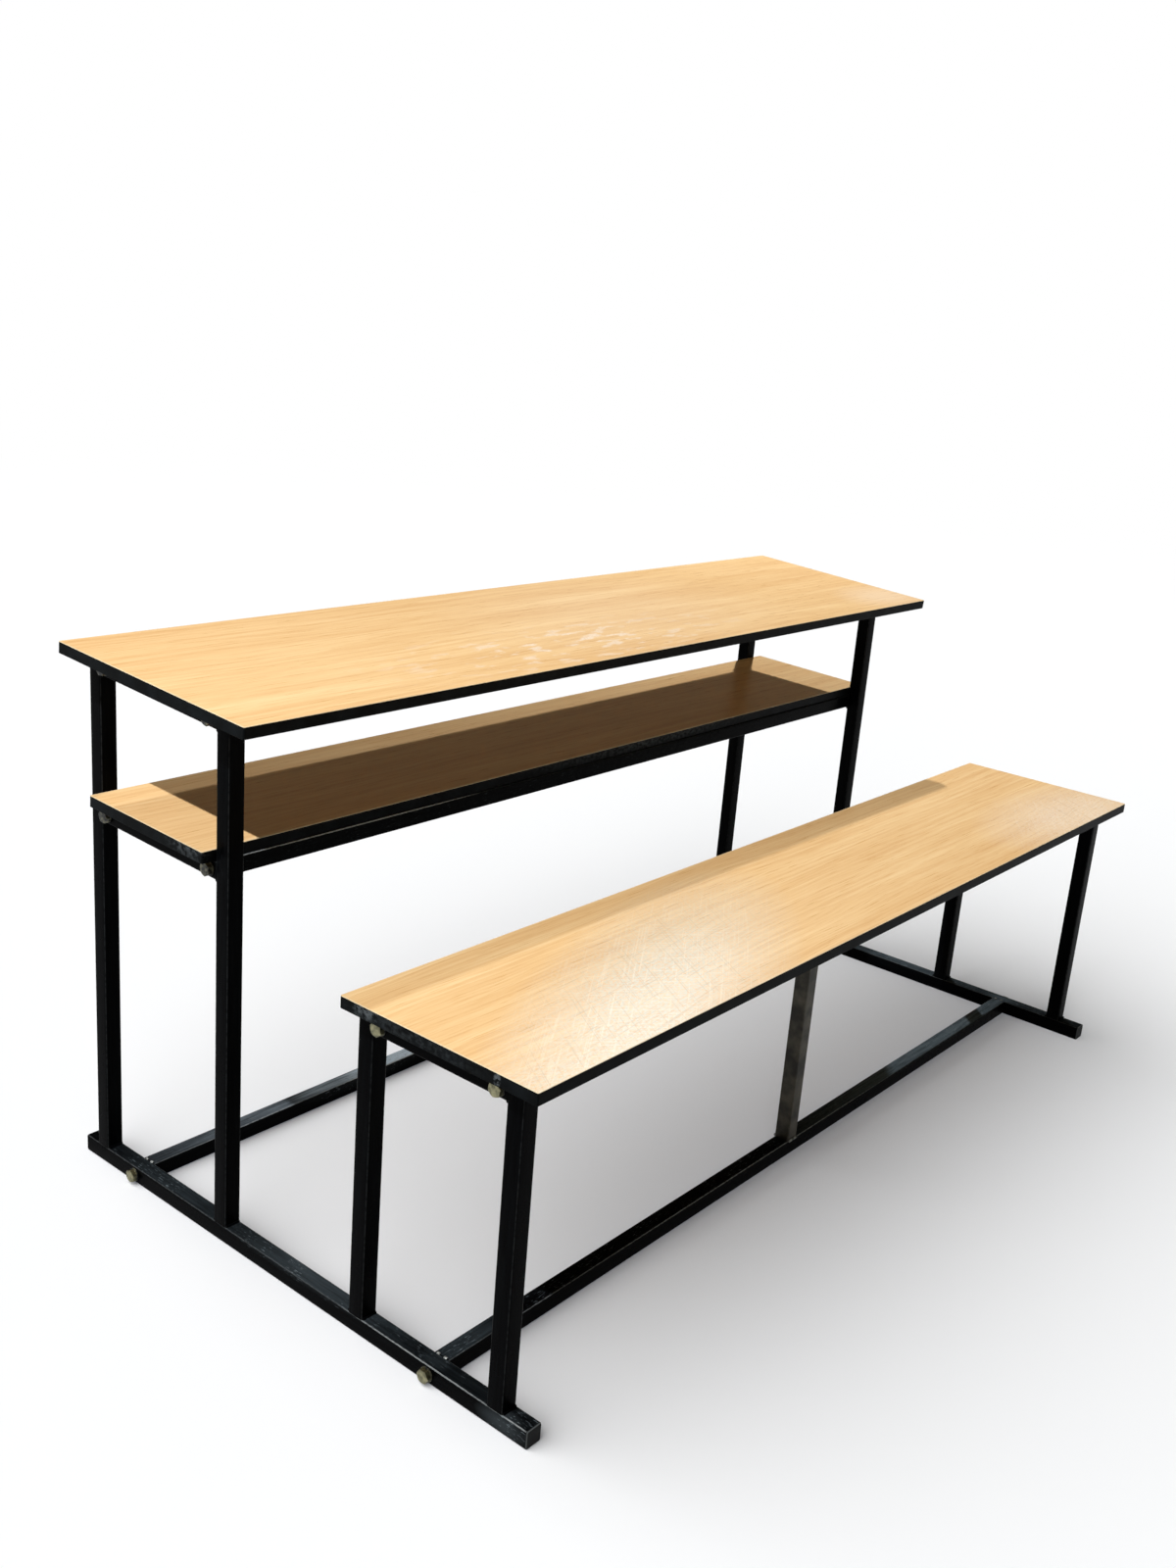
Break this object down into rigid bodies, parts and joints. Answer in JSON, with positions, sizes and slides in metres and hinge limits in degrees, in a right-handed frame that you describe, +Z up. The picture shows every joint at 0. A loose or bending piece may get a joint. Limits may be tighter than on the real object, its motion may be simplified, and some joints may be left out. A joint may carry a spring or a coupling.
{
  "type": "school desk with bench",
  "caption": "Long school desk with a sloping desktop, an open book shelf below it and a fixed bench seat, on a bolted frame of square steel tube.",
  "frame": {"origin": "centre of the bounding box at floor level, under the gap between the bench and the desk", "axes": "+X along the seat, to the right of someone who sits on the bench; +Y from the bench to the desk; +Z up"},
  "size_m": [1.645, 0.88, 0.777],
  "materials": {
    "black_paint": "semi-gloss black enamel, scuffed",
    "bare_steel": "unpainted mill steel, dull",
    "zinc_plate": "yellow zinc plate, worn",
    "cap_plastic": "matt black",
    "edge_band": "black, slightly scuffed",
    "laminate": "light oak print, satin",
    "board_core": "raw particle board"
  },
  "bodies": {
    "root": {"left_foot_rail": "black_paint", "left_front_foot_cap": "cap_plastic", "left_rear_foot_cap": "cap_plastic", "left_bench_front_leg": "black_paint", "left_bench_rear_leg": "black_paint", "left_desk_front_leg": "black_paint", "left_desk_rear_leg": "black_paint", "left_bench_cross_tube": "black_paint", "left_shelf_cross_tube": "black_paint", "left_desktop_cross_tube": "black_paint", "right_foot_rail": "black_paint", "right_front_foot_cap": "cap_plastic", "right_rear_foot_cap": "cap_plastic", "right_bench_front_leg": "black_paint", "right_bench_rear_leg": "black_paint", "right_desk_front_leg": "black_paint", "right_desk_rear_leg": "black_paint", "right_bench_cross_tube": "black_paint", "right_shelf_cross_tube": "black_paint", "right_desktop_cross_tube": "black_paint", "bench_stretcher": "black_paint", "desk_stretcher": "black_paint", "bench_mid_post": "bare_steel", "bench_mid_cross_tube": "black_paint", "desktop_front_rail": "black_paint", "desktop_rear_rail": "black_paint", "shelf_front_rail": "black_paint", "shelf_rear_rail": "black_paint", "bench_front_rail": "black_paint", "bench_rear_rail": "black_paint", "desktop_board": "board_core", "desktop_edge_band": "edge_band", "desktop_laminate": "laminate", "shelf_board": "board_core", "shelf_edge_band": "edge_band", "shelf_laminate": "laminate", "bench_board": "board_core", "bench_edge_band": "edge_band", "bench_laminate": "laminate", "left_desktop_front_bolt": "zinc_plate", "left_desktop_rear_bolt": "zinc_plate", "left_shelf_front_bolt": "zinc_plate", "left_shelf_rear_bolt": "zinc_plate", "left_bench_front_bolt": "zinc_plate", "left_bench_rear_bolt": "zinc_plate", "left_bench_stretcher_bolt": "zinc_plate", "left_desk_stretcher_bolt": "zinc_plate", "right_desktop_front_bolt": "zinc_plate", "right_desktop_rear_bolt": "zinc_plate", "right_shelf_front_bolt": "zinc_plate", "right_shelf_rear_bolt": "zinc_plate", "right_bench_front_bolt": "zinc_plate", "right_bench_rear_bolt": "zinc_plate", "right_bench_stretcher_bolt": "zinc_plate", "right_desk_stretcher_bolt": "zinc_plate"}
  },
  "joints": []
}
